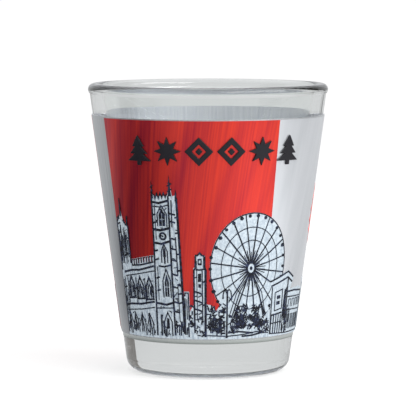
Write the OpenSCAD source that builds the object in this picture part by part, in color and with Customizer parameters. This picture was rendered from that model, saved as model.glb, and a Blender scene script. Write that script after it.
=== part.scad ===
// Souvenir shot glass: a flared pressed glass with a heavy clear base, wrapped in a printed foil sleeve.
// Millimetres, +Z up. The origin is at the middle of the foot, on the surface that the glass stands on.
// Azimuths are degrees round the wall: 0 is the front, on -Y, and they grow towards +X.

/* [Glass] */
// Overall height
glass_h = 60; // [52:0.5:72]
// Radius over the bead of the rim
rim_r = 25; // [24.6:0.1:26]
// Radius that the outer wall would have on the table, before the heel is rounded
base_r = 16.72; // [16:0.02:17.2]
// How far the outer wall flares for each millimetre of height
flare = 0.1363; // [0.1:0.0001:0.14]
// Rounding of the heel, between the foot and the wall
heel_r = 3; // [1.5:0.1:4]
// Thickness of solid glass under the drink
sham_h = 12; // [8:0.5:16]
// Radius of the drink's floor, before its corner is rounded
floor_r = 14.7; // [12:0.1:15]
// Rounding between the drink's floor and its wall
floor_round = 5; // [3:0.5:8]
// Radius of the mouth
mouth_r = 22.1; // [21.5:0.1:22.6]
// Radius of the rim's roundings
bead_r = 1.2; // [0.8:0.05:1.4]
// Depth of the hollow under the foot
punt_h = 1.3; // [0.6:0.1:2.5]
// Width of the ring that the glass stands on
foot_ring_w = 1.6; // [1:0.1:3]

/* [Wrap] */
// Height of the foil's lower edge
foil_bottom = 8.3; // [7:0.1:10]
// Height of the foil's upper edge
foil_top = 53.6; // [50:0.1:55]
// Thickness of the clear adhesive under the foil
film_t = 0.05; // [0.04:0.01:0.08]
// How far the adhesive shows below the foil
film_below = 0.9; // [0:0.1:1.5]
// Thickness of the foil
foil_t = 0.2; // [0.12:0.01:0.3]
// Thickness of each coat of ink
ink_t = 0.06; // [0.05:0.01:0.1]
// Height of the raised ornaments above the coloured panels
raised_t = 0.35; // [0.2:0.05:0.6]
// Bare foil above and below the coloured panels
panel_margin = 0.25; // [0.1:0.05:1]
// Azimuth of the foil's seam, where its bare strip starts
seam_az = -88; // [-92:1:-80]
// Gap between the foil's two ends at the seam, in degrees
seam_gap = 0.9; // [0.3:0.1:2]
// Azimuth where the front red panel starts
red_start = -61.5; // [-72:0.5:-60]
// Azimuth where the front red panel ends and the white one starts
red_end = 37; // [30:0.5:45]
// Azimuth where the white panel ends and the back red one starts
white_end = 172; // [160:1:180]

/* [Ornaments] */
// Height of the middle of the row of ornaments
ornament_z = 47.15; // [44:0.05:49]
// Height and width of one ornament
ornament_size = 5.9; // [4:0.1:6.2]
// Azimuth of the first ornament
ornament_start = -36.7; // [-40:0.1:-30]
// Azimuth between ornaments
ornament_pitch = 16.1; // [15.5:0.1:18]

/* [Line drawing] */
// Width of a heavy pen line
bold_w = 0.34; // [0.24:0.02:0.44]
// Width of a plain pen line
pen_w = 0.22; // [0.16:0.02:0.3]
// Width of a fine pen line
fine_w = 0.15; // [0.12:0.01:0.2]

/* [Hidden] */
$fn = 64;

// Distances out from the glass wall where each coat starts and ends
foil_out = film_t + foil_t;
panel_out = foil_out + ink_t;
ground_out = panel_out + ink_t;
lines_out = ground_out + ink_t;
raised_out = panel_out + raised_t;

ground_z = foil_bottom + 0.2;
foot_r = corner_x(base_r, flare, 0, heel_r);
mouth_flare = (mouth_r - floor_r) / (glass_h - bead_r - sham_h);
motif_r = ornament_size / 2;
wheel_az = 25.7;
wheel_z = 23.1;
wheel_half_az = 24.4;
wheel_half_z = 11.4;
spokes = 20;
street_start = 84;
street_end = 266;
houses = 9;

function wall_r(z) = base_r + flare * z;

// Where the middle of a corner rounding lies, for a wall of radius r at height z
function corner_x(r, slope, z, round_r) = r + slope * round_r - round_r * sqrt(1 + slope * slope);

// A number from 0 to 1 that depends only on i, for the unsteady hand of the drawing
function wobble(i) = let (s = sin(i * 79.37 + 11.3) * 437.58) s - floor(s);

// A point of a drawing, given by its azimuth and height, on the plane that faces azimuth $mid
function spot(p) = [(wall_r(p[1]) + ground_out) * sin(p[0] - $mid), p[1]];

// Section of a flared body whose lower corner is rounded
module flared_section(r, slope, z0, z1, round_r) {
    tilt = atan(slope);
    cx = corner_x(r, slope, z0, round_r);
    translate([cx, z0 + round_r]) circle(round_r);
    polygon([[0, z0], [cx, z0],
             [cx + round_r * cos(tilt), z0 + round_r * (1 - sin(tilt))],
             [r + slope * (z1 - z0), z1], [0, z1]]);
}

// Section of the rim: a bead outside, a softer lip inside
module rim_section() {
    bead_x = rim_r - bead_r;
    lip_x = mouth_r + bead_r;
    translate([bead_x, glass_h - bead_r]) circle(bead_r);
    translate([lip_x, glass_h - bead_r]) circle(bead_r);
    translate([lip_x, glass_h - 2 * bead_r]) square([bead_x - lip_x, 2 * bead_r]);
}

module glass_section() {
    punt_r = foot_r - foot_ring_w;
    punt_curve = (punt_r * punt_r + punt_h * punt_h) / (2 * punt_h);
    difference() {
        flared_section(base_r, flare, 0, glass_h - bead_r, heel_r);
        flared_section(floor_r, mouth_flare, sham_h, glass_h, floor_round);
        translate([0, punt_h - punt_curve]) circle(punt_curve, $fn = 180);
    }
    rim_section();
}

// Section of one coat of the wrap, from one distance out from the glass to another
module coat_section(from, to, z0, z1) {
    polygon([[wall_r(z0) + from, z0], [wall_r(z0) + to, z0],
             [wall_r(z1) + to, z1], [wall_r(z1) + from, z1]]);
}

// A coloured panel between two azimuths
module panel(start, end) {
    rotate([0, 0, start - 90])
        rotate_extrude(angle = end - start, $fn = 180)
            coat_section(foil_out, panel_out, foil_bottom + panel_margin, foil_top - panel_margin);
}

// Lays a flat drawing on the wall around azimuth $mid, between two distances out from the glass
module on_wall($mid, from, to) {
    intersection() {
        rotate_extrude($fn = 180) coat_section(from, to, foil_bottom + 0.1, foil_top - 0.1);
        rotate([0, 0, $mid]) rotate([90, 0, 0])
            translate([0, 0, 8]) linear_extrude(rim_r) children();
    }
}

// An area of a drawing
module patch(points) {
    polygon([for (p = points) spot(p)]);
}

// A straight pen stroke between two points of a drawing
module stroke(p, q, w = pen_w) {
    a = spot(p);
    b = spot(q);
    along = (b - a) / norm(b - a) * w / 2;
    across = [-along[1], along[0]];
    polygon([a - along + across, b + along + across, b + along - across, a - along - across]);
}

// A pen line through several points, mitred where it turns
module path(points, w = pen_w) {
    p = [for (q = points) spot(q)];
    last = len(p) - 1;
    ways = [for (i = [1 : last]) (p[i] - p[i - 1]) / norm(p[i] - p[i - 1])];
    sides = [for (i = [0 : last])
             let (a = ways[max(i - 1, 0)], b = ways[min(i, last - 1)], m = a + b)
             [-m[1], m[0]] * w / 2 / (1 + a * b)];
    polygon(concat([for (i = [0 : last]) p[i] + sides[i]], [for (i = [last : -1 : 0]) p[i] - sides[i]]));
}

// A dark pointed window, wide degrees across, with its sill at height z
module lancet(az, z, wide, tall) {
    patch([[az - wide / 2, z], [az + wide / 2, z], [az + wide / 2, z + tall * 0.62],
           [az, z + tall], [az - wide / 2, z + tall * 0.62]]);
}

// The outline of a pointed arch
module arch(az, z, wide, tall, w = pen_w) {
    path([[az - wide / 2, z], [az - wide / 2, z + tall * 0.6], [az, z + tall],
          [az + wide / 2, z + tall * 0.6], [az + wide / 2, z]], w);
}

// A slim spire with a finial
module spire(az, z, wide, tall) {
    patch([[az - wide / 2, z], [az + wide / 2, z], [az + 0.25, z + tall * 0.66],
           [az, z + tall], [az - 0.25, z + tall * 0.66]]);
    stroke([az - wide / 3, z + tall * 0.62], [az + wide / 3, z + tall * 0.62], fine_w);
}

// Upright strokes of uneven length, for shade
module shade(az0, az1, z0, z1, count, seed, w = fine_w) {
    for (i = [0 : count - 1]) {
        az = az0 + (az1 - az0) * (i + 0.5) / count;
        low = z0 + (z1 - z0) * 0.35 * wobble(seed + i);
        high = z1 - (z1 - z0) * 0.45 * wobble(seed + i + 50);
        stroke([az, low], [az + wobble(seed + i + 90) - 0.5, high], w);
    }
}

// Short strokes at all angles, for leaves
module scribble(az0, az1, z0, z1, count, seed, size, w = pen_w) {
    for (i = [0 : count - 1]) {
        az = az0 + (az1 - az0) * wobble(seed + 3 * i);
        z = z0 + (z1 - z0) * wobble(seed + 3 * i + 1);
        turn = 180 * wobble(seed + 3 * i + 2);
        reach = [3 * size * cos(turn), size * sin(turn)];
        stroke([az, z] - reach / 2, [az, z] + reach / 2, w);
    }
}

// Where each small slab of the nave's crest stands
function crest_foot(i) = [-49.4 + 2 * i, 23.3 + 0.14 * i];

module church_outline() {
    patch([[-62.4, ground_z], [-61.9, 14], [-61, 24], [-60.7, 32.2], [-60, 32.8], [-57.8, 32.8], [-56.7, 34.2],
           [-55.5, 34.2], [-54.6, 32.6], [-51.6, 31.6], [-50.4, 31.2], [-50.9, 24], [-50, 23.4],
           [-32, 24.5], [-32, ground_z]]);
    for (i = [0 : 8])
        patch([for (step = [[-0.7, -0.3], [-0.6, 1.2], [0.8, 1.3], [0.7, -0.3]]) crest_foot(i) + step]);
    patch([[-34.2, ground_z], [-33.3, 16], [-31.8, 28.7], [-31.2, 38.2], [-30.2, 38.2], [-29.6, 37.9],
           [-21.8, 38.1], [-20.9, 40], [-20.1, 40], [-19.2, 38], [-17.4, 38.2], [-16.9, 37.4],
           [-16, 28], [-15, 16], [-14.3, ground_z]]);
    patch([[-15, ground_z], [-14.4, 18.4], [-11.4, 18.4], [-11.2, 14.2], [-8.6, 15.8], [-8.6, ground_z]]);
}

module church_side_tower() {
    path([[-60.4, 32.4], [-60.6, 27], [-60.8, 22]], bold_w);
    path([[-60.9, 20], [-61.4, 15], [-61.8, 9]], pen_w);
    path([[-50.4, 31.4], [-51, 23.6]], bold_w);
    patch([[-57, 33.2], [-56.2, 37], [-55.9, 37], [-55.3, 33.2]]);
    path([[-60.4, 33], [-59.6, 32.4], [-58.6, 33.1], [-57.8, 32.6]], bold_w);
    stroke([-60.3, 31.5], [-57.8, 31.8], bold_w);
    path([[-54.6, 32.5], [-52.4, 31.6], [-51.2, 31.4], [-50.7, 33.4]], bold_w);
    path([[-57.6, 31.4], [-57.7, 26.8], [-57.4, 23.4]], bold_w);
    path([[-54.2, 31], [-54.6, 25.6]], fine_w);
    shade(-60.2, -58.2, 23, 30.6, 3, 3, pen_w);
    shade(-56.8, -51.6, 23.4, 30.4, 4, 21, fine_w);
    shade(-59.6, -51.4, 23.2, 31, 6, 140, fine_w);
    shade(-60.6, -57.2, 9.2, 20, 3, 160, fine_w);
    scribble(-59.6, -51.8, 23.8, 31.2, 12, 1700, 0.5, fine_w);
    for (z = [24.8, 27.4, 29.6]) stroke([-60.2, z], [-58.4, z + 0.3], bold_w);
    for (z = [25.2, 28.4]) stroke([-55.4, z], [-52, z + 0.4], bold_w);
}

module church_nave() {
    path([[-58.8, 21.6], [-51, 22.2], [-44, 22.4], [-33, 23.4]], bold_w * 1.2);
    path([[-58, 20.8], [-46, 21.5], [-33.1, 22.4]], pen_w);
    path([[-50.2, 23.2], [-42, 23.5], [-33, 24.3]], bold_w);
    for (i = [0 : 8])
        path([for (step = [[-0.5, 0], [-0.4, 1], [0.6, 1.1]]) crest_foot(i) + step], pen_w);
    for (az = [-52.4, -44.6, -37.4]) {
        arch(az, 16.4, 5, 4.5, bold_w);
        arch(az, 16.4, 2.2, 3.2, fine_w);
        patch([[az + 0.5, 17], [az + 1.5, 17.2], [az + 1.3, 19], [az + 0.6, 18.8]]);
        shade(az - 2.1, az + 2.1, 16.8, 20, 3, 200 + az, fine_w);
        stroke([az - 2.8, 16.3], [az + 2.6, 16.5], bold_w);
    }
    for (az = [-59.6, -56.4, -48.4, -41]) stroke([az, 15.4], [az + 0.3, 20.6], pen_w);
    for (az = [-59, -48.4, -41]) stroke([az - 0.8, 18.4], [az + 0.8, 18.6], bold_w);
    path([[-60.8, 14.7], [-55, 15.1], [-45, 15.3], [-34.4, 16]], bold_w * 1.2);
    path([[-60.2, 13.7], [-45, 14.2], [-34.5, 14.8]], pen_w);
    for (az = [-57.8, -52, -45.6, -39]) {
        path([[az - 2.9, 10.6], [az, 13.3], [az + 2.9, 11]], pen_w);
        path([[az - 1.2, 9.4], [az - 0.2, 12.6], [az + 0.8, 9.8]], pen_w);
    }
    shade(-61, -48.6, 8.9, 11.6, 8, 5, pen_w);
    shade(-47.2, -35.6, 8.9, 11.4, 7, 17, pen_w);
    scribble(-59.8, -34.8, 15.8, 20.6, 22, 1800, 0.4, fine_w);
    scribble(-60.4, -34.8, 9, 13.4, 18, 1900, 0.5, fine_w);
}

module church_tower() {
    path([[-31.1, 38.2], [-31.6, 28.7], [-33.1, 16], [-34, 9]], bold_w);
    path([[-29.7, 36.2], [-29.9, 28.9]], fine_w);
    path([[-30.4, 23.4], [-31, 16.4]], fine_w);
    path([[-21.4, 38], [-21.4, 24], [-21, 9.2]], bold_w);
    path([[-19.8, 37.2], [-19.9, 31.6]], pen_w);
    path([[-16.9, 37.6], [-16.1, 28], [-15.1, 16], [-14.7, 9.6]], bold_w * 1.2);
    path([[-18.2, 29.6], [-17.7, 21.6]], pen_w);
    path([[-18, 19.4], [-17.5, 12]], fine_w);
    spire(-30.8, 37.4, 1.5, 3.7);
    spire(-20.5, 38, 1.9, 4.3);
    spire(-17.1, 37, 1.1, 2.4);
    for (z = [38.8, 39.9]) {
        stroke([-31.6, z - 0.2], [-30, z + 0.2], fine_w);
        stroke([-21.5, z + 0.2], [-19.5, z + 0.6], pen_w);
    }
    path([[-29.7, 38.3], [-28.9, 37.4], [-27.9, 38.5], [-26.9, 37.5], [-25.9, 38.6], [-24.9, 37.6],
          [-23.9, 38.6], [-22.9, 37.7], [-22.1, 38.5]], pen_w);
    path([[-30.8, 36.7], [-27, 36.5], [-21.4, 37.1]], bold_w * 1.3);
    path([[-30.6, 35.8], [-26, 35.7], [-21.4, 36.2]], pen_w);
    difference() {
        lancet(-25.6, 31.8, 3.6, 3.7);
        stroke([-25.6, 31], [-25.6, 34.4], fine_w);
        stroke([-27, 33.2], [-24.2, 33.2], fine_w * 0.8);
    }
    arch(-25.6, 31.7, 5.6, 4.3, pen_w);
    path([[-31.2, 31.1], [-27, 30.9], [-21.6, 31.4]], bold_w * 1.5);
    translate(spot([-25.8, 29.7])) difference() {
        circle(0.85);
        circle(0.45);
    }
    translate(spot([-25.8, 29.7])) circle(0.2);
    path([[-31.4, 28.3], [-27, 28.1], [-21.6, 28.7]], bold_w * 1.3);
    lancet(-25.4, 25.4, 1.6, 2.2);
    stroke([-25.4, 24.2], [-25.4, 26], bold_w);
    arch(-25.4, 24.2, 3.8, 3.9, pen_w);
    path([[-29.6, 23.5], [-26, 23.4], [-21.6, 23.8]], bold_w);
    difference() {
        lancet(-25, 17.2, 2.6, 4.7);
        stroke([-25, 17], [-25, 20.4], fine_w);
        stroke([-27, 19.2], [-23, 19.2], fine_w);
    }
    arch(-25, 17, 4.9, 5.9, pen_w);
    path([[-32.8, 15.8], [-26, 15.5], [-21.4, 16]], bold_w * 1.3);
    path([[-20.8, 16.2], [-17.6, 15.9], [-15.4, 16.1]], bold_w);
    stroke([-33, 14.7], [-21.2, 14.9], pen_w);
    arch(-25.6, 9, 5.4, 4.9, pen_w);
    patch([[-26.8, 10.4], [-24.6, 10.6], [-24.8, 12.6], [-26.2, 12.8]]);
    stroke([-27.2, 9], [-27, 10.2], bold_w);
    path([[-30.6, 9], [-30, 13.4]], bold_w);
    path([[-29.2, 9.4], [-28.9, 12.2]], fine_w);
    for (z = [34.4, 32.8, 29.3, 27.2, 24.9, 21.9, 19.3, 14.2, 11.4])
        stroke([-20.8, z], [-18.8 + 1.8 * wobble(z), z - 0.2], bold_w);
    for (z = [33.6, 30.4, 26, 22.6, 19.6, 17.8]) stroke([-17.8, z], [-16.5, z + 0.1], bold_w);
    for (z = [34, 32.4, 26.6, 24.8, 21, 18.4]) stroke([-31.2, z], [-29.8, z + 0.15], bold_w);
    scribble(-20.8, -16.6, 10, 36.6, 22, 2500, 0.5, fine_w);
    scribble(-31.4, -22, 9.4, 15, 14, 2600, 0.5, fine_w);
    scribble(-30.4, -22.2, 24, 35.6, 12, 2700, 0.4, fine_w);
}

module church_turret() {
    path([[-14, 17.4], [-13.8, 18.1], [-11.8, 18.1], [-11.6, 12.4]], pen_w);
    path([[-14.3, 9.4], [-13.9, 17]], pen_w);
    path([[-12.8, 16.8], [-12.8, 12.6]], fine_w);
    scribble(-11, -9.4, 11.2, 15.4, 12, 400, 0.6, pen_w);
    shade(-20.2, -11.4, 9, 12.2, 7, 60, pen_w);
}

module clock_tower_outline() {
    patch([[-8.6, ground_z], [-8.5, 23.2], [-7.7, 23.6], [-7.5, 26], [-6, 26.1], [-4.8, 26.5], [-3.4, 26.1],
           [-1.8, 25.9], [-1.7, 23.6], [-1, 23.2], [-0.9, ground_z]]);
}

module clock_tower_drawing() {
    path([[-8.2, 9.8], [-8.3, 16], [-8.2, 22.8], [-7.4, 23.3], [-7.2, 25.7]], bold_w);
    path([[-1.5, 9], [-1.4, 22.8], [-2.1, 23.5], [-2.1, 25.7]], bold_w * 1.4);
    path([[-7.4, 25.9], [-6, 25.9], [-4.7, 26.4], [-3.4, 25.9], [-2, 25.8]], bold_w);
    path([[-6.6, 24.8], [-6.4, 12.4]], fine_w);
    path([[-3.4, 22.8], [-3.2, 12.4]], pen_w);
    difference() {
        patch([[-5.9, 23.9], [-3.6, 23.9], [-3.6, 25.3], [-5.9, 25.2]]);
        patch([[-5.3, 24.3], [-4.2, 24.3], [-4.2, 24.9], [-5.3, 24.9]]);
    }
    path([[-7.2, 23], [-5, 22.9], [-2.2, 23.1]], bold_w);
    patch([[-5.9, 20.4], [-3.9, 20.5], [-4, 22.2], [-5.8, 22.1]]);
    patch([[-5.7, 19.3], [-4.1, 19.2], [-4.1, 20], [-5.7, 20]]);
    for (z = [18.2, 16.4, 14.6]) {
        path([[-7.8, z + 0.2], [-5.6, z], [-3.6, z - 0.3]], bold_w);
        stroke([-5.6, z - 0.9], [-4, z - 0.6], pen_w);
    }
    for (z = [21.2, 17.3, 13.6]) stroke([-8, z], [-6.9, z + 0.2], pen_w);
    for (z = [20.4, 15.6]) stroke([-3, z], [-1.9, z + 0.1], bold_w);
    scribble(-7.6, -3, 9.2, 13, 20, 500, 0.55, pen_w);
}

// A point of the wheel, share of the way out from its hub, in the direction of a turn from the top
function wheel_point(share, turn) =
    [wheel_az + share * wheel_half_az * sin(turn), wheel_z + share * wheel_half_z * cos(turn)];

// An oval of the wheel, as a closed line of a given width
module wheel_ring(share, w, steps = 40) {
    half = w / wheel_half_z / 2;
    difference() {
        patch([for (i = [0 : steps - 1]) wheel_point(share + half, i * 360 / steps)]);
        patch([for (i = [0 : steps - 1]) wheel_point(share - half, i * 360 / steps)]);
    }
}

module wheel_outline() {
    patch([for (i = [0 : 47]) wheel_point(1.012, i * 360 / 48)]);
}

// The cabins hang inside the rim at the top and stand out past it low on the left
function cabin_share(turn) = turn > 190 && turn < 292 ? 1.005 : 0.953;

module wheel_drawing() {
    wheel_ring(1, pen_w * 1.1, 48);
    wheel_ring(0.745, fine_w * 1.2);
    wheel_ring(0.51, fine_w * 1.2, 32);
    for (i = [0 : spokes - 1]) {
        turn = (i + 0.35) * 360 / spokes;
        stroke(wheel_point(0.1, turn), wheel_point(0.99, turn), i % 3 == 1 ? pen_w : bold_w * 0.8);
    }
    for (i = [0 : 2 * spokes - 1]) {
        turn = (i + 0.2) * 180 / spokes;
        stroke(wheel_point(0.1, turn), wheel_point(0.22 + 0.18 * wobble(i), turn + 3), fine_w);
    }
    for (i = [0 : 29]) {
        turn = (i + 0.5) * 12;
        translate(spot(wheel_point(cabin_share(turn), turn))) circle(0.34 + 0.1 * wobble(i), $fn = 6);
    }
    difference() {
        patch([for (i = [0 : 15]) wheel_point(0.14, i * 360 / 16)]);
        patch([for (i = [0 : 15]) wheel_point(0.085, i * 360 / 16)]);
    }
    patch([for (i = [0 : 11]) wheel_point(0.035, i * 360 / 12)]);
    for (side = [-1, 1]) {
        path([[wheel_az + side, 21.6], [wheel_az + side * 6.2, 18.4], [wheel_az + side * 12.4, 11.4]], pen_w);
        path([[wheel_az + side * 3.4, 20.6], [wheel_az + side * 8.4, 18], [wheel_az + side * 14.6, 11]], fine_w);
    }
}

// The line of treetops: a low bank that rises to two clumps under the wheel
module trees_outline() {
    patch([[-0.9, ground_z], [-0.9, 15.8], [2.4, 15.6], [5, 14.4], [8, 16], [10.6, 15.8], [13, 13],
           [16.8, 12.8], [18.6, 15], [20.8, 16], [23.4, 15.6], [25.4, 14.4], [28.2, 14.6],
           [30.2, 16], [32.6, 15.4], [34.2, 13], [37.4, 12.4], [40.8, 14.6], [42, 12], [42.2, ground_z]]);
}

module trees_drawing() {
    scribble(0, 4.4, 10.2, 15.4, 36, 10, 0.7, pen_w);
    scribble(4.4, 10.4, 10.2, 14.4, 42, 130, 0.7, pen_w);
    scribble(7, 10.4, 14, 15.8, 12, 830, 0.6, pen_w);
    shade(0.4, 11, 9.2, 13.6, 11, 33, pen_w);
    scribble(17.4, 24.2, 10.8, 15.4, 72, 250, 0.7, pen_w);
    scribble(24.4, 28, 10.6, 13.2, 20, 470, 0.6, pen_w);
    scribble(28.4, 33.6, 10.8, 15.4, 60, 610, 0.7, pen_w);
    scribble(19, 23, 11.2, 13.6, 12, 2210, 0.9, bold_w);
    scribble(29, 33, 11.2, 13.6, 12, 2310, 0.9, bold_w);
    scribble(34, 41.4, 9.6, 12.2, 44, 950, 0.7, pen_w);
    scribble(13, 17, 9.8, 12.4, 18, 1130, 0.6, pen_w);
    for (i = [0 : 4]) stroke([14.4 + 1.1 * i, 9.8], [17 + 1.1 * i, 13.4], fine_w);
    path([[-0.6, 9.3], [12, 9.1], [24, 9.4], [32, 9.8], [42, 9.4]], pen_w);
    path([[8, 9.7], [20, 10], [30, 9.6]], bold_w);
    path([[22, 9], [29, 9.1], [38, 9.6]], bold_w);
}

module street_lamp() {
    stroke([12, 8.9], [11.6, 18.6], bold_w);
    path([[11.6, 18.3], [10.8, 18.9], [9.6, 18.5], [9, 17.6]], pen_w);
    path([[11.6, 18.3], [12.6, 18.9], [13.8, 18.4], [14.2, 17.4]], pen_w);
    patch([[8.5, 16.9], [9.6, 16.9], [9.4, 17.7], [8.8, 17.7]]);
    patch([[13.7, 16.7], [14.8, 16.7], [14.6, 17.5], [14, 17.5]]);
    path([[11.2, 9], [12.8, 9]], bold_w);
}

module hall_outline() {
    patch([[42.2, ground_z], [41.7, 18.6], [40.2, 19.4], [40.2, 20.1], [55.6, 22], [62.4, 20.7], [62.2, 19.9],
           [59.4, 18], [74.4, 18.2], [80.4, 17.6], [84, ground_z]]);
}

module hall_drawing() {
    path([[40.4, 20], [55.6, 21.8], [62, 20.5]], bold_w);
    path([[41.2, 19], [55.8, 20.6], [61.4, 19.5]], bold_w);
    stroke([56.4, 20.4], [58.2, 9.2], bold_w);
    path([[42.2, 18.8], [43.4, 9.2]], pen_w);
    path([[45, 17.6], [51.6, 18.2], [52.4, 14.2], [45.8, 13.8]], pen_w);
    stroke([45, 17.6], [45.8, 13.8], fine_w);
    for (z = [15, 16.2]) patch([[47, z], [50, z + 0.1], [49.9, z + 0.8], [46.9, z + 0.7]]);
    stroke([43, 12.9], [52.4, 13.3], bold_w);
    for (az = [43.8, 46, 48.2, 50.4, 52.6]) stroke([az, 9.2], [az - 0.4, 12.8], pen_w);
    stroke([43.6, 11.2], [52.6, 11.4], pen_w);
    shade(53.2, 57.2, 9.4, 18.8, 6, 71, fine_w);
    shade(57.8, 63, 9.4, 16, 4, 91, fine_w);
    path([[57.4, 17.5], [66, 17.6], [79.6, 17.2]], bold_w);
    path([[57.6, 16.4], [79.8, 16.2]], pen_w);
    path([[58, 13.7], [80.4, 13.4]], pen_w);
    for (az = [60, 65, 70, 75]) {
        path([[az, 14.2], [az, 15.8], [az + 3, 15.8], [az + 3, 14.2]], fine_w);
        path([[az, 9.6], [az, 12.6], [az + 3, 12.6], [az + 3, 9.6]], fine_w);
        stroke([az + 1.5, 9.8], [az + 1.5, 12.4], fine_w);
    }
    path([[79.8, 17], [81.6, 9.2]], pen_w);
    path([[43, 9.1], [60, 8.9], [81.4, 9]], pen_w);
    scribble(54, 60, 9.2, 11, 14, 1300, 0.5, pen_w);
}

// The street at the back: one house for each turn of the loop, with heights that never repeat
function house_az(i) = street_start + (street_end - street_start) * (i + 0.22 * wobble(3 * i)) / houses;
function house_h(i) = 13.4 + 7.4 * wobble(7 * i + 2);

module house_outline(i) {
    a = house_az(i);
    b = house_az(i + 1) - 0.3;
    top = house_h(i);
    gable = i % 3 == 0 ? 2.6 : i % 3 == 1 ? 0.8 : 0;
    patch([[a, ground_z], [a, top], [(a + b) / 2, top + gable], [b, top], [b, ground_z]]);
}

module house_drawing(i) {
    a = house_az(i) + 0.7;
    b = house_az(i + 1) - 1;
    top = house_h(i) - 0.4;
    gable = i % 3 == 0 ? 2.4 : i % 3 == 1 ? 0.7 : 0;
    floors = floor((top - 10) / 3.1);
    path([[a, 9], [a, top], [(a + b) / 2, top + gable], [b, top], [b, 9]], pen_w);
    stroke([a, top - 0.9], [b, top - 0.9], bold_w);
    stroke([a, 12.2], [b, 12.2], pen_w);
    for (f = [0 : floors - 1], c = [0 : 2]) {
        az = a + (b - a) * (c + 0.5) / 3;
        if (i % 2 == 0) lancet(az, 13 + 3 * f, 2, 2);
        else patch([[az - 1, 13 + 3 * f], [az + 1, 13 + 3 * f],
                    [az + 1, 14.8 + 3 * f], [az - 1, 14.8 + 3 * f]]);
    }
    arch((a + b) / 2, 9, 3, 2.7, bold_w);
    shade(a + 0.6, b - 0.6, 9, 11.8, 6, 40 * i, fine_w);
}

// A plain oval leaf with a toothed edge, its veins left open
module leaf_drawing() {
    teeth = 9;
    low = 24;
    tall = 20;
    function half_w(s) = 24 * sin(180 * pow(s, 0.8));
    edge = [for (i = [0 : 2 * teeth]) let (s = i / (2 * teeth))
            [half_w(s) * (i % 2 == 0 ? 0.84 : 1), low + tall * s]];
    difference() {
        patch(concat([for (p = edge) [$mid - p[0], p[1]]],
                     [for (i = [len(edge) - 2 : -1 : 1]) [$mid + edge[i][0], edge[i][1]]]));
        for (s = [0.16, 0.32, 0.48, 0.64], side = [-1, 1])
            stroke([$mid, low + tall * s], [$mid + side * half_w(s) * 0.66, low + 3.4 + tall * s], pen_w);
    }
    stroke([$mid, 21.6], [$mid, low + 3], bold_w * 2);
}

module fir() {
    for (tier = [0 : 2]) {
        low = -motif_r * 0.72 + tier * motif_r * 0.5;
        half = motif_r * (0.98 - 0.24 * tier);
        polygon([[-half, low], [half, low], [0, low + motif_r * 0.78]]);
    }
    translate([-motif_r * 0.16, -motif_r]) square([motif_r * 0.32, motif_r * 0.5]);
}

module star() {
    polygon([for (i = [0 : 15]) let (r = i % 2 == 0 ? motif_r : motif_r * 0.5)
             [r * sin(i * 22.5), r * cos(i * 22.5)]]);
}

module lozenge() {
    difference() {
        polygon([[0, -motif_r], [motif_r, 0], [0, motif_r], [-motif_r, 0]]);
        polygon([for (i = [0 : 3]) [motif_r * 0.5 * sin(90 * i), motif_r * 0.5 * cos(90 * i)]]);
    }
    polygon([for (i = [0 : 3]) [motif_r * 0.26 * sin(90 * i), motif_r * 0.26 * cos(90 * i)]]);
}

// One raised ornament, at its place in the row
module ornament(place) {
    on_wall(ornament_start + place * ornament_pitch, panel_out, raised_out)
        translate([0, ornament_z]) children();
}

// What stands in front hides what is behind, so drawings never lie on each other
module in_front_of_wheel() {
    rotate([0, 0, wheel_az]) rotate([90, 0, 0]) translate([0, 0, 8]) linear_extrude(rim_r + 2) {
        $mid = wheel_az;
        trees_outline();
        hall_outline();
    }
}

module lamp_in_front() {
    rotate([0, 0, wheel_az]) rotate([90, 0, 0]) translate([0, 0, 8]) linear_extrude(rim_r + 2) {
        $mid = wheel_az;
        patch([[11, 8], [11, 19.2], [12.5, 19.2], [12.7, 8]]);
    }
}

module glass_body() {
    color([0.9, 0.94, 0.93, 0.4]) rotate_extrude($fn = 180) glass_section();
}

module adhesive_film() {
    color([0.85, 0.87, 0.88]) rotate_extrude($fn = 180)
        coat_section(0, film_t, foil_bottom - film_below, foil_top);
}

module foil_sleeve() {
    color("silver") rotate([0, 0, seam_az - 90]) rotate_extrude(angle = 360 - seam_gap, $fn = 180)
        coat_section(film_t, foil_out, foil_bottom, foil_top);
}

module red_panel_front() { color("firebrick") panel(red_start, red_end); }

module white_panel() { color("gainsboro") panel(red_end, white_end); }

module red_panel_back() { color("firebrick") panel(white_end, 360 + seam_az - 2 * seam_gap); }

module leaf_print() { color("crimson") on_wall(104, panel_out, ground_out) leaf_drawing(); }

module church_ground() { color("aliceblue") on_wall(-37, panel_out, ground_out) church_outline(); }

module side_tower_lines() {
    color("midnightblue") on_wall(-37, ground_out, lines_out) church_side_tower();
}

module nave_lines() { color("midnightblue") on_wall(-37, ground_out, lines_out) church_nave(); }

module church_tower_lines() {
    color("midnightblue") on_wall(-37, ground_out, lines_out) {
        church_tower();
        church_turret();
    }
}

module clock_tower_ground() {
    color("aliceblue") on_wall(-5, panel_out, ground_out) clock_tower_outline();
}

module clock_tower_lines() {
    color("midnightblue") on_wall(-5, ground_out, lines_out) clock_tower_drawing();
}

module wheel_ground() {
    color("aliceblue") difference() {
        on_wall(wheel_az, panel_out, ground_out) wheel_outline();
        in_front_of_wheel();
    }
}

module wheel_lines() {
    color("midnightblue") difference() {
        on_wall(wheel_az, ground_out, lines_out) wheel_drawing();
        in_front_of_wheel();
        lamp_in_front();
    }
}

module trees_ground() { color("aliceblue") on_wall(21, panel_out, ground_out) trees_outline(); }

module trees_lines() {
    color("midnightblue") difference() {
        on_wall(21, ground_out, lines_out) trees_drawing();
        lamp_in_front();
    }
}

module street_lamp_lines() { color("midnightblue") on_wall(12, ground_out, lines_out) street_lamp(); }

module hall_ground() { color("aliceblue") on_wall(60, panel_out, ground_out) hall_outline(); }

module hall_lines() { color("midnightblue") on_wall(60, ground_out, lines_out) hall_drawing(); }

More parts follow.
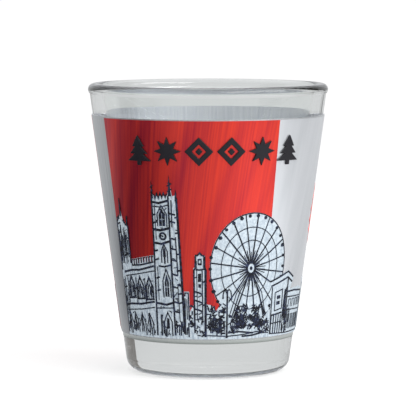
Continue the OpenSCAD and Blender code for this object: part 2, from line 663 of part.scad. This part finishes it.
module back_street_ground() {
    color("aliceblue") for (i = [0 : houses - 1])
        on_wall(house_az(i + 0.5), panel_out, ground_out) house_outline(i);
}

module back_street_lines() {
    color("midnightblue") for (i = [0 : houses - 1])
        on_wall(house_az(i + 0.5), ground_out, lines_out) house_drawing(i);
}

module raised_fir_left() { color("black") ornament(0) fir(); }
module raised_star_left() { color("black") ornament(1) star(); }
module raised_lozenge_left() { color("black") ornament(2) lozenge(); }
module raised_lozenge_right() { color("black") ornament(3) lozenge(); }
module raised_star_right() { color("black") ornament(4) star(); }
module raised_fir_right() { color("black") ornament(5) fir(); }

glass_body();
adhesive_film();
foil_sleeve();
red_panel_front();
white_panel();
red_panel_back();
leaf_print();
church_ground();
side_tower_lines();
nave_lines();
church_tower_lines();
clock_tower_ground();
clock_tower_lines();
wheel_ground();
wheel_lines();
trees_ground();
trees_lines();
street_lamp_lines();
hall_ground();
hall_lines();
back_street_ground();
back_street_lines();
raised_fir_left();
raised_star_left();
raised_lozenge_left();
raised_lozenge_right();
raised_star_right();
raised_fir_right();
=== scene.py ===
"""Looks of a souvenir shot glass: clear glass, brushed foil sleeve, lacquered panels and pen drawing."""

import math

import bpy
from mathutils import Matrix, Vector


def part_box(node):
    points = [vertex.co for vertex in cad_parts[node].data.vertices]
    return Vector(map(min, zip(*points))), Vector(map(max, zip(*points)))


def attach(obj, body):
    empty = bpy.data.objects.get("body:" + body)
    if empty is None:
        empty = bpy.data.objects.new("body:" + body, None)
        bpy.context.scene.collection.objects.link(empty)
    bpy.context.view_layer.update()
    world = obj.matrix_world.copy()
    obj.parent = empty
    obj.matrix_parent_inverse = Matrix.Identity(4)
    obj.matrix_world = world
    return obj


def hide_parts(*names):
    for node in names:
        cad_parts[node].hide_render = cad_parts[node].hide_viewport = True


bl_info = {
    "name": "Souvenir shot glass",
    "version": (1, 0, 0),
    "blender": (4, 5, 0),
    "location": "3D View > Sidebar > Shot glass",
    "description": "Finishes the shot glass around its CAD frame and sets up a pale studio",
    "category": "Object",
}

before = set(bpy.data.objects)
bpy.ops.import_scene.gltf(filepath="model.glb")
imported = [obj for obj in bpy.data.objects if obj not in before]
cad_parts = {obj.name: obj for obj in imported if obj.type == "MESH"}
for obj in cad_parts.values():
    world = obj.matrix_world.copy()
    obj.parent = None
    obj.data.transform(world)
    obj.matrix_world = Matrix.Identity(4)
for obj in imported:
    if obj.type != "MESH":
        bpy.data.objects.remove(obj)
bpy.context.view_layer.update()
MM = 0.001
GLASS_MIDDLE = Vector((0, 0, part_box("glass_body")[1].z / 2))
STUDIO_R = 13  # radius of the tent over the studio, in metres
CLOTH_GREY = "D6D7D8"  # the even grey of the tent and the table cloth
WRAP_R = 20  # middling radius of the wrap, in millimetres


# ---------------------------------------------------------------- nodes and colours


def srgb(code):
    """A colour written as six hex digits, as the linear numbers that shaders want."""
    parts = [int(code[i : i + 2], 16) / 255 for i in (0, 2, 4)]
    return [c / 12.92 if c <= 0.04045 else ((c + 0.055) / 1.055) ** 2.4 for c in parts] + [1.0]


def add(tree, kind, settings=None, **inputs):
    """Adds a node. A setting is the node's own, and an input is a value or a socket to link from.

    i0, i1 and so on count the inputs, for nodes whose inputs share a name.
    """
    node = tree.nodes.new(kind)
    for name, value in (settings or {}).items():
        setattr(node, name, value)
    for name, value in inputs.items():
        counted = name[0] == "i" and name[1:].isdigit()
        socket = node.inputs[int(name[1:])] if counted else node.inputs[name.replace("_", " ")]
        if isinstance(value, bpy.types.NodeSocket):
            tree.links.new(value, socket)
        else:
            socket.default_value = value
    return node


def new_finish(name):
    """An empty material, its node tree and its output node."""
    mat = bpy.data.materials.new(name)
    mat.use_nodes = True
    mat.node_tree.nodes.clear()
    return mat, mat.node_tree, add(mat.node_tree, "ShaderNodeOutputMaterial")


def ramp(tree, fac, stops):
    """A colour ramp over fac, with one (position, grey or colour) for each stop."""
    node = add(tree, "ShaderNodeValToRGB", Fac=fac)
    elements = node.color_ramp.elements
    while len(elements) < len(stops):
        elements.new(0.5)
    for element, (position, colour) in zip(elements, stops):
        element.position = position
        element.color = (colour, colour, colour, 1.0) if isinstance(colour, float) else colour
    return node.outputs["Color"]


def place_of(tree):
    """Where the shaded point is on the piece, in metres."""
    return add(tree, "ShaderNodeTexCoord").outputs["Object"]


def part_of_place(tree, axis):
    """The X, Y or Z of the shaded point, in metres."""
    return add(tree, "ShaderNodeSeparateXYZ", Vector=place_of(tree)).outputs[axis]


def sums(tree, operation, **inputs):
    return add(tree, "ShaderNodeMath", {"operation": operation}, **inputs).outputs[0]


def vectors(tree, operation, **inputs):
    return add(tree, "ShaderNodeVectorMath", {"operation": operation}, **inputs).outputs[0]


def noise(tree, cell_mm, detail):
    """Noise with cells of a real size."""
    return add(
        tree, "ShaderNodeTexNoise", Vector=place_of(tree), Scale=1 / (cell_mm * MM), Detail=detail
    ).outputs["Fac"]


def brush_lines(tree, across_mm, along_mm, lean_deg=0.0, detail=2.0):
    """Noise drawn out up the wall.

    Lines are across_mm apart and along_mm long, and turn lean_deg round the glass in each 10 mm of height.
    The place is first pushed onto a cylinder, so the flare doesn't cut the lines short.
    """
    outward = vectors(tree, "NORMALIZE", i0=vectors(tree, "MULTIPLY", i0=place_of(tree), i1=(1, 1, 0)))
    turn = sums(tree, "MULTIPLY", i0=part_of_place(tree, "Z"), i1=math.radians(lean_deg) / (10 * MM))
    leaned = add(
        tree, "ShaderNodeVectorRotate", {"rotation_type": "Z_AXIS"}, Vector=outward, Angle=turn
    ).outputs[0]
    rise = vectors(tree, "MULTIPLY", i0=place_of(tree), i1=(0, 0, 1 / (along_mm * MM)))
    lines_round = WRAP_R / across_mm
    stretched = vectors(tree, "MULTIPLY_ADD", i0=leaned, i1=(lines_round, lines_round, 0), i2=rise)
    return add(
        tree, "ShaderNodeTexNoise", Vector=stretched, Scale=1.0, Detail=detail, Roughness=0.6
    ).outputs["Fac"]


def round_the_axis(tree):
    """The tangent of metal that was brushed upright."""
    return add(tree, "ShaderNodeTangent", {"direction_type": "RADIAL", "axis": "Z"}).outputs[0]


def dress(mat, *names):
    """Gives a finish to CAD nodes, in place of the plain one that they came with."""
    for name in names:
        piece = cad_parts[name]
        piece.data.materials.clear()
        piece.data.materials.append(mat)


def nodes_ending(word):
    """Names of the CAD nodes that end in a word."""
    return [name for name in sorted(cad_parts) if name.endswith(word)]


# ---------------------------------------------------------------- finishes


def soda_lime_glass(look):
    """Pressed soda-lime glass, fire polished: clear with a trace of green, its skin slightly wavy."""
    mat, tree, out = new_finish("pressed_soda_lime_glass")
    skin = add(tree, "ShaderNodeBump", Height=noise(tree, 9, 1.0), Strength=0.12, Distance=0.15 * MM)
    glass = add(
        tree, "ShaderNodeBsdfPrincipled", Base_Color=look.glass_tint, Roughness=0.012,
        IOR=1.52, Transmission_Weight=1.0, Normal=skin.outputs[0],
    )
    tree.links.new(glass.outputs[0], out.inputs["Surface"])
    return mat


def clear_acrylic_adhesive(look):
    """Clear acrylic adhesive: it shows the foil's bright back, and below the foil's edge it is painted grey,
    darker towards the bottom, as painted shade under the foil's edge.
    """
    mat, tree, out = new_finish("clear_acrylic_adhesive")
    lines = brush_lines(tree, 0.5, 14)
    behind = ramp(tree, lines, [(0.3, srgb("E4E7F2")), (0.7, srgb("F6F8FF"))])
    height = part_of_place(tree, "Z")
    foil_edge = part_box("foil_sleeve")[0].z
    share = add(
        tree, "ShaderNodeMapRange", Value=height, From_Min=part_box("adhesive_film")[0].z, From_Max=foil_edge
    ).outputs["Result"]
    # painted shade: the film below the foil's edge is grey, darkest at its bottom, for the shade under the
    # foil
    painted_shade_below_foil = ramp(tree, share, [(0.0, srgb("747976")), (0.35, srgb("929896")), (0.9, srgb("B6BBB9"))])
    above = sums(tree, "GREATER_THAN", i0=height, i1=foil_edge)
    colour = add(tree, "ShaderNodeMix", {"data_type": "RGBA"}, i0=above, i6=painted_shade_below_foil, i7=behind)
    film = add(
        tree, "ShaderNodeBsdfPrincipled", Base_Color=colour.outputs[2], Metallic=0.3, Roughness=0.4,
        Coat_Weight=0.4, Coat_Roughness=0.1,
    )
    tree.links.new(film.outputs[0], out.inputs["Surface"])
    return mat


def brushed_foil(look):
    """Aluminium foil, brushed upright: fine dull lines that spread light sideways."""
    mat, tree, out = new_finish("brushed_aluminium_foil")
    lines = brush_lines(tree, 0.28, 12)
    colour = ramp(tree, lines, [(0.3, srgb("B9BCBF")), (0.7, srgb("DADCDE"))])
    rough = ramp(tree, lines, [(0.25, 0.3), (0.75, 0.46)])
    groove = add(tree, "ShaderNodeBump", Height=lines, Strength=0.25, Distance=0.02 * MM)
    metal = add(
        tree, "ShaderNodeBsdfPrincipled", Base_Color=colour, Metallic=1.0, Roughness=rough,
        Anisotropic=0.5, Normal=groove.outputs[0], Tangent=round_the_axis(tree),
    )
    tree.links.new(metal.outputs[0], out.inputs["Surface"])
    return mat


def lacquer_on_foil(name, deep, bright, across_mm, side_light_share=0.0):
    """Translucent lacquer over brushed foil: the metal gleams through it in fine lines and leaning beams.

    side_light_share says how much the colour is brightened from the glass's left to its right: painted shade
    on the left and painted light on the right, for the key light from the right.
    """
    mat, tree, out = new_finish(name)
    fine = brush_lines(tree, across_mm, 40, lean_deg=-3, detail=1.0)
    beams = brush_lines(tree, 3.2, 300, lean_deg=-8, detail=0.8)
    # painted light: the colour brightens from the glass's left to its right, painted shade on the left and
    # painted highlight on the right
    painted_side_light = add(
        tree, "ShaderNodeMapRange", Value=part_of_place(tree, "X"), From_Min=-18 * MM, From_Max=16 * MM,
        To_Min=-side_light_share, To_Max=side_light_share,
    ).outputs["Result"]
    beams_and_painted_side_light = sums(tree, "MULTIPLY_ADD", i0=beams, i1=0.6, i2=painted_side_light)
    mixed = sums(tree, "MULTIPLY_ADD", i0=fine, i1=0.35, i2=beams_and_painted_side_light)
    colour = ramp(tree, mixed, [(0.25, deep), (0.72, bright)])
    rough = ramp(tree, mixed, [(0.3, 0.34), (0.7, 0.42)])
    groove = add(tree, "ShaderNodeBump", Height=fine, Strength=0.3, Distance=0.02 * MM)
    lacquer = add(
        tree, "ShaderNodeBsdfPrincipled", Base_Color=colour, Metallic=0.85, Roughness=rough,
        Anisotropic=0.4, Coat_Weight=0.25, Coat_Roughness=0.18, Normal=groove.outputs[0],
        Tangent=round_the_axis(tree),
    )
    tree.links.new(lacquer.outputs[0], out.inputs["Surface"])
    return mat


def ground_ink(name, look, wash):
    """Thin white screen ink over foil, with a grey-blue wash of the pen's ink, streaked up the wall."""
    mat, tree, out = new_finish(name)
    white = ramp(tree, noise(tree, 0.5, 3.0), [(0.35, srgb("B4C1CC")), (0.65, look.ground_colour)])
    strokes = ramp(tree, brush_lines(tree, 0.4, 1.5, detail=3.0), [(0.47, 0.0), (0.62, wash)])
    colour = add(tree, "ShaderNodeMix", {"data_type": "RGBA"}, i0=strokes, i6=white, i7=look.wash_colour)
    ink = add(
        tree, "ShaderNodeBsdfPrincipled", Base_Color=colour.outputs[2], Metallic=0.35, Roughness=0.45
    )
    tree.links.new(ink.outputs[0], out.inputs["Surface"])
    return mat


def line_ink(look):
    """Blue-black screen ink: matte, and bluer where it is thin."""
    mat, tree, out = new_finish("blue_black_screen_ink")
    colour = ramp(tree, noise(tree, 0.6, 2.0), [(0.45, srgb("10121B")), (0.72, look.line_colour)])
    ink = add(
        tree, "ShaderNodeBsdfPrincipled", Base_Color=colour, Roughness=0.5, Specular_IOR_Level=0.2
    )
    tree.links.new(ink.outputs[0], out.inputs["Surface"])
    return mat


def raised_ink(look):
    """Thick black puff ink: satin, with the faint pimples it cures with."""
    mat, tree, out = new_finish("raised_black_ink")
    skin = add(tree, "ShaderNodeBump", Height=noise(tree, 0.35, 2.0), Strength=0.4, Distance=0.05 * MM)
    ink = add(
        tree, "ShaderNodeBsdfPrincipled", Base_Color=look.raised_colour, Roughness=0.45,
        Specular_IOR_Level=0.3, Normal=skin.outputs[0],
    )
    tree.links.new(ink.outputs[0], out.inputs["Surface"])
    return mat


# ---------------------------------------------------------------- settings


def colour_setting(name, description, code):
    """A colour in the panel. Its default is written as six hex digits."""
    return bpy.props.FloatVectorProperty(
        name=name, description=description, subtype="COLOR", size=4, min=0, max=1, default=srgb(code)
    )


class ShotGlassLook(bpy.types.PropertyGroup):
    """Colours of the finishes."""

    glass_tint: colour_setting("Glass tint", "Tint of the clear glass", "FAFCFB")
    # red_deep and red_bright also give the painted shade on the red's left and the painted light on its
    # right (side_light_share in lacquer_on_foil)
    red_deep: colour_setting("Deep red", "Red lacquer where it is thick", "A41A34")
    red_bright: colour_setting("Bright red", "Red lacquer where it is thin", "F6462F")
    pearl_deep: colour_setting("Deep pearl", "Pearl white lacquer where it is thick", "D4D7DB")
    pearl_bright: colour_setting("Bright pearl", "Pearl white lacquer where it is thin", "E2E4E8")
    ground_colour: colour_setting("Ground", "White ink under the drawing", "CEDAE2")
    wash_colour: colour_setting("Wash", "Thinned ink brushed over the ground", "7F8E9F")
    line_colour: colour_setting("Line", "Ink of the pen drawing, where it is thin", "2A3450")
    raised_colour: colour_setting("Raised", "Ink of the ornaments", "14121A")


class ShotGlassStudio(bpy.types.PropertyGroup):
    """Where the camera stands and how bright the studio is."""

    camera_away: bpy.props.FloatProperty(
        name="Camera distance", description="From the glass's axis to the camera",
        default=0.66, unit="LENGTH",
    )
    camera_up: bpy.props.FloatProperty(
        name="Camera height", description="Above the surface that the glass stands on",
        default=0.088, unit="LENGTH",
    )
    aim_up: bpy.props.FloatProperty(
        name="Aim height", description="Height of the point that the camera looks at",
        default=0.0339, unit="LENGTH",
    )
    lens: bpy.props.FloatProperty(
        name="Lens", description="Focal length on a 36 mm sensor", default=274.2, unit="CAMERA"
    )
    sky: bpy.props.FloatProperty(
        name="Sky", description="Strength of the white surroundings", default=1.03
    )
    key_power: bpy.props.FloatProperty(
        name="Key", description="Power of the big soft lamp", default=4.0, unit="POWER"
    )


# ---------------------------------------------------------------- pieces


class SHOT_OT_glass(bpy.types.Operator):
    """Finish the pressed glass body"""

    bl_idname = "shot.glass"
    bl_label = "Glass body"

    def execute(self, context):
        dress(soda_lime_glass(context.scene.shot_look), "glass_body")
        return {"FINISHED"}


class SHOT_OT_foil(bpy.types.Operator):
    """Finish the foil sleeve and the adhesive under it"""

    bl_idname = "shot.foil"
    bl_label = "Foil sleeve"

    def execute(self, context):
        look = context.scene.shot_look
        dress(clear_acrylic_adhesive(look), "adhesive_film")
        dress(brushed_foil(look), "foil_sleeve")
        return {"FINISHED"}


class SHOT_OT_panels(bpy.types.Operator):
    """Finish the coloured panels and the leaf"""

    bl_idname = "shot.panels"
    bl_label = "Coloured panels"

    def execute(self, context):
        look = context.scene.shot_look
        # side_light_share 0.1 paints shade on the red's left and light on its right
        red = lacquer_on_foil("red_lacquer_on_foil", look.red_deep, look.red_bright, 0.35, side_light_share=0.1)
        dress(red, "red_panel_front", "red_panel_back", "leaf_print")
        pearl = lacquer_on_foil("pearl_white_lacquer", look.pearl_deep, look.pearl_bright, 0.6)
        dress(pearl, "white_panel")
        return {"FINISHED"}


class SHOT_OT_drawing(bpy.types.Operator):
    """Finish the pen drawing and the white ground under it"""

    bl_idname = "shot.drawing"
    bl_label = "Pen drawing"

    def execute(self, context):
        look = context.scene.shot_look
        clean = ["wheel_ground", "hall_ground"]
        washed = [name for name in nodes_ending("_ground") if name not in clean]
        dress(ground_ink("white_ink_washed", look, 0.6), *washed)
        dress(ground_ink("white_ink_clean", look, 0.25), *clean)
        dress(line_ink(look), *nodes_ending("_lines"))
        return {"FINISHED"}


def soft_edged(name, mat):
    """A raised ornament with the rounded edges that thick ink cures to. It stands for its CAD node."""
    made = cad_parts[name].copy()
    made.data = made.data.copy()
    made.name = name + "_soft_edged"
    made.parent = None
    for key in list(made.keys()):
        del made[key]
    bpy.context.scene.collection.objects.link(made)
    bpy.ops.object.select_all(action="DESELECT")
    made.select_set(True)
    bpy.context.view_layer.objects.active = made

    bpy.ops.object.mode_set(mode="EDIT")
    bpy.ops.mesh.select_all(action="SELECT")
    bpy.ops.mesh.remove_doubles(threshold=0.001 * MM)
    bpy.ops.mesh.dissolve_limited(angle_limit=math.radians(0.5))
    bpy.ops.mesh.normals_make_consistent(inside=False)
    bpy.ops.object.mode_set(mode="OBJECT")
    rounding = made.modifiers.new("rounding", "BEVEL")
    rounding.width = 0.16 * MM
    rounding.segments = 3
    rounding.limit_method = "ANGLE"
    rounding.angle_limit = math.radians(30)
    bpy.ops.object.modifier_apply(modifier=rounding.name)
    bpy.ops.object.shade_smooth_by_angle(angle=math.radians(35))

    made.data.materials.clear()
    made.data.materials.append(mat)
    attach(made, "root")
    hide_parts(name)


class SHOT_OT_ornaments(bpy.types.Operator):
    """Finish the row of raised ornaments"""

    bl_idname = "shot.ornaments"
    bl_label = "Raised ornaments"

    def execute(self, context):
        mat = raised_ink(context.scene.shot_look)
        for name in sorted(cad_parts):
            if name.startswith("raised_"):
                soft_edged(name, mat)
        return {"FINISHED"}


# ---------------------------------------------------------------- studio


def floor_paint(shadow_share):
    """Pale matt paint, glowing for the rest of its brightness, so that the shadow on it stays faint."""
    mat, tree, out = new_finish("pale_floor")
    grey = [shadow_share] * 3 + [1.0]
    coat = add(
        tree, "ShaderNodeBsdfPrincipled", Base_Color=grey, Roughness=0.9, Specular_IOR_Level=0.0,
        Emission_Color=srgb("FFFFFF"), Emission_Strength=1.0 - shadow_share,
    )
    tree.links.new(coat.outputs[0], out.inputs["Surface"])
    return mat


def card(name, size, place, mat, seen_by):
    """A flat card that faces the glass. seen_by lists the kinds of ray that meet it."""
    bpy.ops.mesh.primitive_plane_add(size=1, location=place)
    made = bpy.context.object
    made.name = name
    made.scale = (*size, 1)
    made.rotation_euler = (GLASS_MIDDLE - made.location).to_track_quat("Z", "Y").to_euler()
    made.data.materials.append(mat)
    show_to(made, seen_by)


def around(azimuth, away, height):
    """A place at an azimuth round the glass, in degrees: 0 is the front, and 90 is the right."""
    turn = math.radians(azimuth)
    return Vector((away * math.sin(turn), -away * math.cos(turn), height))


def show_to(made, seen_by):
    """Hides a thing from every kind of ray that seen_by doesn't name."""
    for kind in ("camera", "diffuse", "glossy", "transmission", "shadow", "volume_scatter"):
        setattr(made, "visible_" + kind, kind in seen_by)


def disc(name, radius, height, mat, seen_by, centre=(0, 0)):
    """A round level sheet around the glass, or around a centre of its own."""
    bpy.ops.mesh.primitive_circle_add(
        vertices=128, radius=radius, fill_type="NGON", location=(*centre, height)
    )
    made = bpy.context.object
    made.name = name
    made.data.materials.append(mat)
    show_to(made, seen_by)


def soft_box(name, size, place, power):
    """A white rectangular lamp, facing the glass."""
    bpy.ops.object.light_add(type="AREA", location=place)
    lamp = bpy.context.object
    lamp.name = name
    lamp.data.shape = "RECTANGLE"
    lamp.data.size, lamp.data.size_y = size
    lamp.data.energy = power
    lamp.rotation_euler = (GLASS_MIDDLE - lamp.location).to_track_quat("-Z", "Y").to_euler()


def glow(name, colour, strength=1.0):
    """Cloth that glows, so nothing shades it.

    colour is hex, or a function that makes a socket for it. strength is a number or such a function.
    """
    mat, tree, out = new_finish(name)
    shade = colour(tree) if callable(colour) else srgb(colour)
    power = strength(tree) if callable(strength) else strength
    light = add(tree, "ShaderNodeEmission", Color=shade, Strength=power)
    tree.links.new(light.outputs[0], out.inputs["Surface"])
    return mat


def bright_top(tree):
    """The tent's roof lets in more light than its walls."""
    return add(
        tree, "ShaderNodeMapRange", Value=part_of_place(tree, "Z"),
        From_Min=0.45 * STUDIO_R, From_Max=0.85 * STUDIO_R, To_Min=1.0, To_Max=3.0,
    ).outputs["Result"]


def dark_patch(tree):
    """Grey that darkens towards a patch on the left of the glass."""
    middle = (-0.15, -0.03, 0)
    away = add(tree, "ShaderNodeVectorMath", {"operation": "DISTANCE"}, i0=place_of(tree), i1=middle)
    stops = [(0.07, srgb("3C3E44")), (0.1, srgb("85888D")), (0.13, srgb(CLOTH_GREY))]
    return ramp(tree, away.outputs["Value"], stops)


def fading(tree):
    """Light that is strongest in the middle of a patch and fades to the cloth's own at its edge."""
    away = add(tree, "ShaderNodeVectorMath", {"operation": "LENGTH"}, i0=place_of(tree))
    return add(
        tree, "ShaderNodeMapRange", Value=away.outputs["Value"], From_Min=0.03, From_Max=0.1,
        To_Min=2.3, To_Max=1.0,
    ).outputs["Result"]


def tent(mat):
    """A grey tent over the whole studio, seen by the glass and the foil alone."""
    bpy.ops.mesh.primitive_uv_sphere_add(segments=48, ring_count=24, radius=STUDIO_R)
    made = bpy.context.object
    made.name = "grey_tent"
    made.data.materials.append(mat)
    show_to(made, ("glossy", "transmission"))


class SHOT_OT_studio(bpy.types.Operator):
    """Set up the pale floor, the soft light and the camera"""

    bl_idname = "shot.studio"
    bl_label = "Studio"

    def execute(self, context):
        studio = context.scene.shot_studio
        world = bpy.data.worlds.new("studio_sky")
        context.scene.world = world
        world.use_nodes = True
        sky = world.node_tree.nodes["Background"]
        sky.inputs["Color"].default_value = srgb("FFFFFF")
        sky.inputs["Strength"].default_value = studio.sky

        disc("floor", 14, -0.1 * MM, floor_paint(0.45), ("camera", "diffuse", "shadow"))
        disc("table_cloth", 12, -0.02 * MM, glow("table_cloth", dark_patch), ("glossy", "transmission"))
        tent(glow("tent_cloth", CLOTH_GREY, bright_top))
        light = glow("light_patch", CLOTH_GREY, fading)
        disc("light_patch", 0.1, -0.01 * MM, light, ("glossy",), centre=(0.097, -0.08))
        card("left_card", (0.3, 0.35), around(-80, 0.5, 0.1), glow("dark_card", "3A3B3E"), ("glossy",))
        brown = glow("brown_card", "726E6A")
        card("right_card", (0.36, 0.6), around(113, 0.5, 0.2), brown, ("glossy", "transmission"))
        soft_box("key_box", (0.8, 0.35), around(52, 0.6, 0.5), studio.key_power)

        camera_data = bpy.data.cameras.new("camera")
        camera = bpy.data.objects.new("camera", camera_data)
        context.scene.collection.objects.link(camera)
        camera.location = (0, -studio.camera_away, studio.camera_up)
        aim = Vector((0, 0, studio.aim_up)) - camera.location
        camera.rotation_euler = aim.to_track_quat("-Z", "Y").to_euler()
        camera_data.lens = studio.lens
        camera_data.sensor_width = 36
        camera_data.clip_end = 50
        context.scene.camera = camera
        context.scene.view_settings.view_transform = "Standard"
        return {"FINISHED"}


class SHOT_PT_panel(bpy.types.Panel):
    """Lists the pieces of the shot glass"""

    bl_label = "Shot glass"
    bl_idname = "SHOT_PT_panel"
    bl_space_type = "VIEW_3D"
    bl_region_type = "UI"
    bl_category = "Shot glass"

    def draw(self, context):
        for group in (context.scene.shot_look, context.scene.shot_studio):
            for name in group.__annotations__:
                self.layout.prop(group, name)
        for operator in OPERATORS:
            self.layout.operator(operator.bl_idname)


OPERATORS = (
    SHOT_OT_studio, SHOT_OT_glass, SHOT_OT_foil, SHOT_OT_panels, SHOT_OT_drawing, SHOT_OT_ornaments
)
CLASSES = (ShotGlassLook, ShotGlassStudio, *OPERATORS, SHOT_PT_panel)


def register():
    for cls in CLASSES:
        bpy.utils.register_class(cls)
    bpy.types.Scene.shot_look = bpy.props.PointerProperty(type=ShotGlassLook)
    bpy.types.Scene.shot_studio = bpy.props.PointerProperty(type=ShotGlassStudio)


def unregister():
    del bpy.types.Scene.shot_studio
    del bpy.types.Scene.shot_look
    for cls in reversed(CLASSES):
        bpy.utils.unregister_class(cls)


def main():
    register()
    bpy.ops.shot.studio()
    bpy.ops.shot.glass()
    bpy.ops.shot.foil()
    bpy.ops.shot.panels()
    bpy.ops.shot.drawing()
    bpy.ops.shot.ornaments()


if __name__ == "__main__":
    main()
